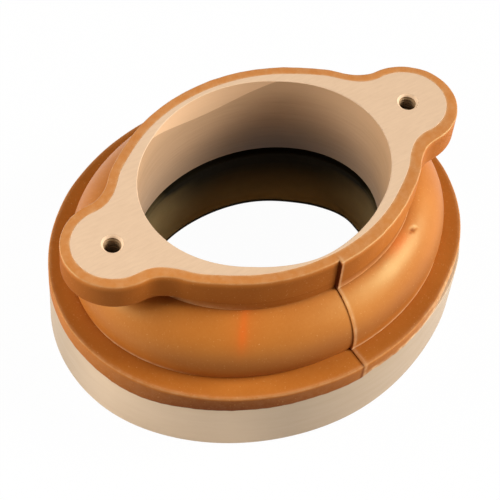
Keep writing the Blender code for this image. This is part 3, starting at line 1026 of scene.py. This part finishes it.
def base_cover():
    """Rings from the inner edge across the ledge, over the rim and back underneath."""
    add, rows, worn, crease, _ = ring_stack()
    uneven, lower, ragged = rim_line()
    top = LEDGE + LEDGE_STEP * mismatch
    # Painted shade on the rim, deepest where it faces the front, and on the ledge beside the bulge, less left
    # of the parting.
    shade = 0.2 + 0.55 * bell(from_parting + 0.7, np.where(from_parting < -0.7, 0.55, 0.85))
    scuffed = 0.08 + 0.65 * trimmed
    less_shade = turn_bell(turn, 257, 26) * ~right
    foot = bulge_half(LEDGE)
    outer = BASE_HALF + RIM_PROUD
    add(oval(RUN_HALF), LEDGE)
    add(oval(foot - 0.5 * MM), top)
    for share in np.linspace(0, 1, 12):
        half = foot + (outer - RIM_ROUND - foot) * share
        dark = 0.26 - 0.1 * less_shade + 0.4 * (1 - 0.8 * less_shade) * math.exp(-share / 0.15)
        add(oval(half) + uneven * radial * share, top, 0.22 * math.exp((share - 1) / 0.05), dark)
    for bend in QUARTER_ROUND:
        ring = oval(outer - RIM_ROUND * (1 - math.sin(bend))) + uneven * radial
        edge = 0.3 * math.sin(2 * bend) + 0.5 * trimmed * math.sin(bend)
        add(ring, top - RIM_ROUND * (1 - math.cos(bend)), edge, 0.2)
    for share in np.linspace(0, 1, 10)[1:]:
        z = (top - RIM_ROUND) * (1 - share) + (lower + 0.3 * MM) * share
        wall = (uneven + low_flare(turn, z)[:, None]) * radial
        add(oval(outer) + wall, z, scuffed + ragged * smooth(share, 0.6, 0.9), shade * (1 + 0.3 * share))
    for back, up in ((0.1 * MM, 0.1 * MM), (0.35 * MM, 0.0)):
        add(oval(outer - back) + wall, lower + up, scuffed + ragged, 1.3 * shade)
    for half in ((outer + RUN_HALF) / 2, RUN_HALF):
        add(oval(half), COVER_BOTTOM - 0.25 * MM)
    rows, row = np.stack(rows), np.arange(len(rows))
    mesh = ring_mesh("base_cover", rows)
    # Painted shadow and painted highlight at the mould's step.
    shaded = np.clip(np.stack(crease) + 0.6 * step_shade, 0, 1)
    lit = np.clip(np.stack(worn) + 0.4 * step_light, 0, 1)
    blank = np.zeros(rows.shape[:2])
    # The rows in the lining's finish are painted near black for the shadow under the bulge and the rim.
    mark(mesh, worn=lit, crease=shaded, blush=blank, soot=blank + 0.9)
    mesh.set_sharp_from_angle(angle=RUBBER_CREASE)
    place(mesh, matt_rubber, "base", "rubber", "rubber_base_cover")
    second_finish(mesh, dull_rubber, np.isin(row, (0, len(row) - 2, len(row) - 1)))


base_cover()


# %% [markdown]
# The base ring and the lining inside it are turned forms. A Screw modifier would make them round, but they
# are oval, so a few profile points are carried round their ovals, with the edges broken by small quarter
# rounds. Neither is quite true, so a swell moves each point in or out. The ring's wall stands a little
# proud in places, and painted shade darkens it a little all round except at the left, which is better lit.

# %% Base ring
ROUND_POINTS = 6
SIDE_POINTS = 6


def carried(name, profile, material, slot, node, round_off, soot, swell):
    """A ring from profile points (oval half sizes, height), its corners cut back and rounded.

    Each corner is replaced by points on the curve that leaves one side and joins the next, a quadratic
    through the corner: (1-s)^2 before + 2 s (1-s) corner + s^2 after. The swell, in metres at each turn and
    profile point, then moves a point straight out from the middle. The painted shadow darkens by place, and
    the rounded corners are marked for wear and highlight.
    """
    corners = np.array([[*half, z] for half, z in profile])
    before, after = np.roll(corners, 1, 0) - corners, np.roll(corners, -1, 0) - corners
    shares = [np.minimum(round_off / np.linalg.norm(way, axis=1), 0.45) for way in (before, after)]
    cut = [share[:, None] * way for share, way in zip(shares, (before, after))]
    s = np.linspace(0, 1, ROUND_POINTS)[None, :, None]
    curve = corners[:, None] + (1 - s) ** 2 * cut[0][:, None] + s**2 * cut[1][:, None]
    start, stop = curve[:, -1:], np.roll(curve, -1, 0)[:, :1]
    straight = start + (stop - start) * np.linspace(0, 1, SIDE_POINTS + 2)[None, 1:-1, None]
    points = np.concatenate([curve, straight], 1).reshape(-1, 3)
    stations = np.linspace(0, 2 * math.pi, 2 * HALF_STATIONS, endpoint=False)
    rows = np.stack([raised(oval(p[:2], stations), p[2]) for p in points])
    rows[..., :2] += swell(stations, points)[..., None] * oval((1, 1), stations)
    mesh = ring_mesh(name, rows)
    rounded = np.concatenate([np.sin(np.linspace(0, math.pi, ROUND_POINTS)), np.zeros(SIDE_POINTS)])
    worn = np.repeat(np.tile(rounded, len(corners)), len(stations)) * 0.6
    mark(mesh, worn=worn, soot=np.clip(soot(*np.moveaxis(rows, -1, 0)), 0, 1))
    mesh.set_sharp_from_angle(angle=math.radians(50))
    place(mesh, material, "base", slot, node)


def ring_swell(t, points):
    """How far the ring's outer wall stands proud of its oval: a bell at the right, two more low down."""
    outer_wall = points[:, :1] > BASE_HALF[0] - 1.0 * MM
    return outer_wall * (0.8 * MM * turn_bell(t, -42, 14) + low_flare(t, points[:, 2:]))


def ring_shade(x, y, z):
    """Painted shade all round except at the left, which is better lit."""
    away = np.degrees(np.abs(np.angle(np.exp(1j * (np.arctan2(y, x) - math.radians(212))))))
    return 0.35 * smooth(away, 15, 38)


carried(
    "base_ring_turned",
    [
        (LINING_HALF + 0.05 * MM, RING_TOP),
        (BASE_HALF - 4.0 * MM, RING_TOP),
        (BASE_HALF - 3.0 * MM, RING_TOP + 1.0 * MM),
        (BASE_HALF, RING_TOP + 1.0 * MM),
        (BASE_HALF, 0.0 * MM),
        (LINING_HALF + 0.05 * MM, 0.0 * MM),
    ],
    ring_metal,
    "base_metal",
    "base_ring",
    0.5 * MM,
    ring_shade,
    ring_swell,
)


# %% [markdown]
# The lining goes on down where the sleeve ends, and carries the painted shadow described above. At its
# foot the rubber reaches in as a low lip round the oval, which the swell draws on the inner wall alone.

# %% Bore lining
LINING_TOP = SLEEVE_BOTTOM - 2.9 * MM
LINING_FOOT = 0.4 * MM
LIP_LOW, LIP_TOP = 1.5 * MM, 4.6 * MM


def lining_shadow(x, y, z):
    """Painted shadow on the shaded side that deepens upwards, some of it elsewhere, under the sleeve, and a
    dark edge round the foot.
    """
    side = smooth(1.35 * shadow_side(x, y, 58))
    high = smooth(z, 0.1 * LINING_TOP, 0.85 * LINING_TOP)
    low_shadow = 0.3 * shadow_side(x, y, 47) ** 2 * (1 - high) * smooth(z, 0, 9 * MM)
    top_shadow = 0.5 * (1 - side) * smooth(z, 12 * MM, 26 * MM)
    rim_shadow = 0.7 * smooth(z, LINING_TOP - 4.5 * MM, LINING_TOP - 1.0 * MM)
    foot_edge = 0.97 * smooth(z, 2.1 * MM, 1.6 * MM)
    return side * high + low_shadow + np.maximum(top_shadow, rim_shadow) + foot_edge


def foot_lip(t, points):
    """How far the lining's foot reaches in: a lip round the oval, widest between its sides and its ends."""
    quarter = np.degrees(np.arcsin(np.abs(np.sin(t))))
    reach_in = smooth(quarter, 1.4, 27.4) * (1.03 + 0.95 * bell(quarter - 42.4, 17.3))
    reach_in = reach_in + 0.4 * bell(quarter, 7)
    inner_wall = points[:, :1] < LINING_HALF[0] - 2.0 * MM
    return inner_wall * smooth(points[:, 2:], LIP_TOP, LIP_LOW) * -reach_in * MM


carried(
    "bore_lining",
    [
        (bore_half(LINING_TOP), LINING_TOP),
        (RUN_HALF + 1.0 * MM, LINING_TOP),
        (RUN_HALF + 1.0 * MM, RING_TOP + 0.02 * MM),
        (LINING_HALF, RING_TOP - 0.5 * MM),
        (LINING_HALF, LINING_FOOT),
        *((bore_half(z), z) for z in (LINING_FOOT, LIP_LOW, LIP_TOP, LINING_TOP - 1.6 * MM)),
    ],
    dull_rubber,
    "lining_rubber",
    "rubber_bore_lining",
    0.6 * MM,
    lining_shadow,
    foot_lip,
)

# %% [markdown]
# The floor is plain and pale. Seen directly it is white like the studio sweep behind the photographed
# part, and it keeps a faint share of the part's own shadow.

# %% Floor and sky
FLOOR_GLOW = 0.975
FLOOR_REACH = 3.0
SKY_STRENGTH = 0.02


def direct_view(tree):
    """1 for what the camera sees straight, in a reflection or through glass: the largest of three rays."""
    rays = tree.nodes.new("ShaderNodeLightPath")
    seen = rays.outputs["Is Camera Ray"]
    for other in ("Is Glossy Ray", "Is Transmission Ray"):
        larger = tree.nodes.new("ShaderNodeMath")
        larger.operation = "MAXIMUM"
        tree.links.new(seen, larger.inputs[0])
        tree.links.new(rays.outputs[other], larger.inputs[1])
        seen = larger.outputs[0]
    return seen


def white_sweep():
    """A floor that mixes a white glow, for what looks at it directly, with a matt shadowed surface."""
    made = bpy.data.materials.new("white_sweep")
    made.use_nodes = True
    tree = made.node_tree
    shader = tree.nodes["Principled BSDF"]
    shader.inputs["Base Color"].default_value = (0.86, 0.85, 0.83, 1.0)
    shader.inputs["Roughness"].default_value = 0.9
    shader.inputs["Specular IOR Level"].default_value = 0.1
    glow = tree.nodes.new("ShaderNodeEmission")
    glow.inputs["Color"].default_value = (1, 1, 1, 1)
    mix = tree.nodes.new("ShaderNodeMixShader")
    share = tree.nodes.new("ShaderNodeMath")
    share.operation = "MULTIPLY"
    share.inputs[1].default_value = FLOOR_GLOW
    tree.links.new(direct_view(tree), share.inputs[0])
    for number, output in enumerate((share.outputs[0], shader.outputs[0], glow.outputs[0])):
        tree.links.new(output, mix.inputs[number])
    tree.links.new(mix.outputs[0], tree.nodes["Material Output"].inputs["Surface"])
    return made


floor_mesh = bpy.data.meshes.new("floor")
signs = ((-1, -1), (1, -1), (1, 1), (-1, 1))
floor_mesh.from_pydata([(x * FLOOR_REACH, y * FLOOR_REACH, 0) for x, y in signs], [], [(0, 1, 2, 3)])
floor_mesh.materials.append(white_sweep())
floor = bpy.data.objects.new("floor", floor_mesh)
floor.location.z = -0.05 * MM
bpy.context.scene.collection.objects.link(floor)
floor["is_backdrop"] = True


def studio_sky(strength):
    """A world that is white to the camera and soft light to everything else."""
    world = bpy.data.worlds.new("studio_sky")
    world.use_nodes = True
    bpy.context.scene.world = world
    tree = world.node_tree
    back = tree.nodes["Background"]
    back.inputs["Color"].default_value = (1, 1, 1, 1)
    level = tree.nodes.new("ShaderNodeMapRange")
    level.inputs["To Min"].default_value = strength
    level.inputs["To Max"].default_value = 1.0
    tree.links.new(direct_view(tree), level.inputs["Value"])
    tree.links.new(level.outputs["Result"], back.inputs["Strength"])


studio_sky(SKY_STRENGTH)
print("floor", 2 * FLOOR_REACH, "m wide")

# %% [markdown]
# A large soft lamp stands to the right, where it draws the broad shine on the right side of the bulge. A
# weaker one stands behind on the left for the far bore wall and the left ear, and a third, low on the
# right in front, lifts the ledge and the base a little.

# %% Lamps
LAMPS_LOOK_AT = Vector((0, 0, 0.04))


def soft_lamp(name, direction, distance, size, power):
    """A square area lamp that looks at the middle of the part."""
    data = bpy.data.lights.new(name, "AREA")
    data.shape = "SQUARE"
    data.size = size
    data.energy = power
    lamp = bpy.data.objects.new(name, data)
    way = Vector(direction).normalized()
    lamp.location = LAMPS_LOOK_AT + way * distance
    lamp.rotation_mode = "QUATERNION"
    lamp.rotation_quaternion = way.to_track_quat("Z", "Y")
    bpy.context.scene.collection.objects.link(lamp)
    print(name, power, "W")


soft_lamp("key_lamp", (0.734, -0.424, 0.53), 1.6, 0.75, 29.5)
soft_lamp("side_lamp", (-0.821, 0.383, 0.423), 0.7, 0.33, 4.6)
soft_lamp("low_lamp", (0.515, -0.763, 0.391), 0.9, 0.42, 1.9)

# %% [markdown]
# The camera repeats the photograph's: its angle, distance and lens were found from the bore, the ears and
# the base ring's edge. It leans a little, and it needs no shift.

# %% Camera
ELEVATION, AZIMUTH, LEAN_OVER = (math.radians(x) for x in (54.0345, -39.0291, 6.6988))
SENSOR = 36.0
FOCAL_PIXELS, PHOTO_PIXELS = 1689.574, 500
AWAY, TO_LEFT, DOWN = 0.56030, 0.005223, 0.02655


def photo_camera():
    """A camera from elevation, azimuth and lean, aimed past the middle of the top face."""
    sideways, forwards = math.sin(AZIMUTH), -math.cos(AZIMUTH)
    flat = math.cos(ELEVATION)
    back = Vector((sideways * flat, forwards * flat, math.sin(ELEVATION)))
    level = Vector((math.cos(AZIMUTH), math.sin(AZIMUTH), 0))
    upward = back.cross(level)
    across = level * math.cos(LEAN_OVER) + upward * math.sin(LEAN_OVER)
    up = upward * math.cos(LEAN_OVER) - level * math.sin(LEAN_OVER)
    data = bpy.data.cameras.new("photo_camera")
    data.sensor_width = SENSOR
    data.lens = SENSOR * FOCAL_PIXELS / PHOTO_PIXELS
    camera = bpy.data.objects.new("photo_camera", data)
    bpy.context.scene.collection.objects.link(camera)
    spot_at = Vector((0, 0, HEIGHT)) + back * AWAY - across * TO_LEFT - up * DOWN
    columns = [(*axis, 0) for axis in (across, up, back)] + [(*spot_at, 1)]
    camera.matrix_world = Matrix(columns).transposed()
    print("lens", round(data.lens, 1), "mm")
    return camera


bpy.context.scene.camera = photo_camera()
bpy.context.scene.view_settings.view_transform = "Standard"

# %% [markdown]
# Last, the size of the dressed part is printed.

# %% Size of the dressed part
low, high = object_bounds()
print("visual box in mm", [round(x / MM, 2) for x in (*low, *high)])
